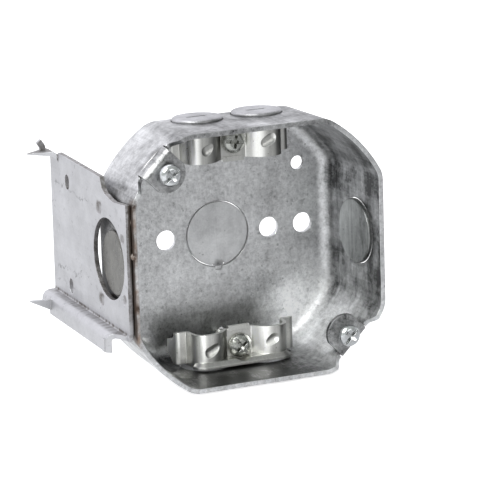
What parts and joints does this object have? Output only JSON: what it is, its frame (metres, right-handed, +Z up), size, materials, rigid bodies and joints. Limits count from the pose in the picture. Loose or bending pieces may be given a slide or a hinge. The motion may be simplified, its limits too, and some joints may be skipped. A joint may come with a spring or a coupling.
{
  "type": "electrical junction box",
  "caption": "Shallow eight-sided drawn steel outlet box with a stud bracket, cable clamps, knockouts and cover screws.",
  "frame": {"origin": "centre of the outer face of the back wall, midway between its mounting holes", "axes": "+X right and +Z up seen from the open side, +Y out through the back wall; the opening faces -Y and the stud bracket is on the -X side"},
  "size_m": [0.1049, 0.0728, 0.0888],
  "materials": {
    "box_steel": "galvanised, faintly mottled",
    "bracket_steel": "galvanised, even",
    "weld_steel": "heat tinted",
    "clamp_steel": "bright zinc",
    "screw_steel": "bright zinc"
  },
  "bodies": {
    "box": {"box_shell": "box_steel", "side_bracket": "bracket_steel", "bracket_weld_nuggets": "weld_steel"},
    "back_knockout": {"back_knockout": "box_steel"},
    "right_knockout": {"right_knockout": "box_steel"},
    "left_knockout": {"left_knockout": "box_steel"},
    "top_left_cable_knockout": {"top_left_cable_knockout": "box_steel"},
    "top_right_cable_knockout": {"top_right_cable_knockout": "box_steel"},
    "bottom_left_cable_knockout": {"bottom_left_cable_knockout": "box_steel"},
    "bottom_right_cable_knockout": {"bottom_right_cable_knockout": "box_steel"},
    "upper_clamp": {"upper_clamp": "clamp_steel"},
    "lower_clamp": {"lower_clamp": "clamp_steel"},
    "upper_clamp_screw": {"upper_clamp_screw": "screw_steel"},
    "lower_clamp_screw": {"lower_clamp_screw": "screw_steel"},
    "cover_screw_upper_left": {"cover_screw_upper_left": "screw_steel"},
    "cover_screw_lower_right": {"cover_screw_lower_right": "screw_steel"}
  },
  "joints": [
    {"name": "back_knockout_bend", "type": "hinge", "parent": "box", "child": "back_knockout", "pos_m": [0, 0, -0.0111], "axis": [-1, 0, 0], "range_deg": [0, 60]},
    {"name": "right_knockout_bend", "type": "hinge", "parent": "box", "child": "right_knockout", "pos_m": [0.04315, -0.0213, -0.0111], "axis": [0.0384, -0.9993, 0], "range_deg": [0, 60]},
    {"name": "left_knockout_bend", "type": "hinge", "parent": "box", "child": "left_knockout", "pos_m": [-0.04475, -0.0213, -0.0111], "axis": [-0.0384, -0.9993, 0], "range_deg": [0, 45]},
    {"name": "top_left_cable_knockout_bend", "type": "hinge", "parent": "box", "child": "top_left_cable_knockout", "pos_m": [-0.002, -0.0128, 0.04303], "axis": [0, 0.9993, -0.0384], "range_deg": [0, 60]},
    {"name": "bottom_left_cable_knockout_bend", "type": "hinge", "parent": "box", "child": "bottom_left_cable_knockout", "pos_m": [-0.002, -0.0128, -0.04303], "axis": [0, -0.9993, -0.0384], "range_deg": [0, 60]},
    {"name": "top_right_cable_knockout_bend", "type": "hinge", "parent": "box", "child": "top_right_cable_knockout", "pos_m": [0.0196, -0.0128, 0.04303], "axis": [0, 0.9993, -0.0384], "range_deg": [0, 60]},
    {"name": "bottom_right_cable_knockout_bend", "type": "hinge", "parent": "box", "child": "bottom_right_cable_knockout", "pos_m": [0.0196, -0.0128, -0.04303], "axis": [0, -0.9993, -0.0384], "range_deg": [0, 60]},
    {"name": "upper_clamp_travel", "type": "slide", "parent": "box", "child": "upper_clamp", "axis": [0, 1, 0], "range_m": [-0.002, 0.004]},
    {"name": "upper_clamp_screw_turn", "type": "hinge", "parent": "upper_clamp", "child": "upper_clamp_screw", "pos_m": [0, -0.0173, 0.0354], "axis": [0, 1, 0], "range_deg": [-1000, 2100]},
    {"name": "lower_clamp_travel", "type": "slide", "parent": "box", "child": "lower_clamp", "axis": [0, 1, 0], "range_m": [-0.002, 0.004]},
    {"name": "lower_clamp_screw_turn", "type": "hinge", "parent": "lower_clamp", "child": "lower_clamp_screw", "pos_m": [0, -0.0173, -0.0354], "axis": [0, 1, 0], "range_deg": [-1000, 2100]},
    {"name": "upper_left_cover_screw_turn", "type": "hinge", "parent": "box", "child": "cover_screw_upper_left", "pos_m": [-0.03143, -0.0381, 0.03143], "axis": [0, 1, 0], "continuous": true},
    {"name": "lower_right_cover_screw_turn", "type": "hinge", "parent": "box", "child": "cover_screw_lower_right", "pos_m": [0.03143, -0.0381, -0.03143], "axis": [0, 1, 0], "continuous": true}
  ],
  "couplings": [
    {"joint": "upper_clamp_screw_turn", "follows": "upper_clamp_travel", "rad_per_m": 7913.3},
    {"joint": "lower_clamp_screw_turn", "follows": "lower_clamp_travel", "rad_per_m": 7913.3}
  ]
}
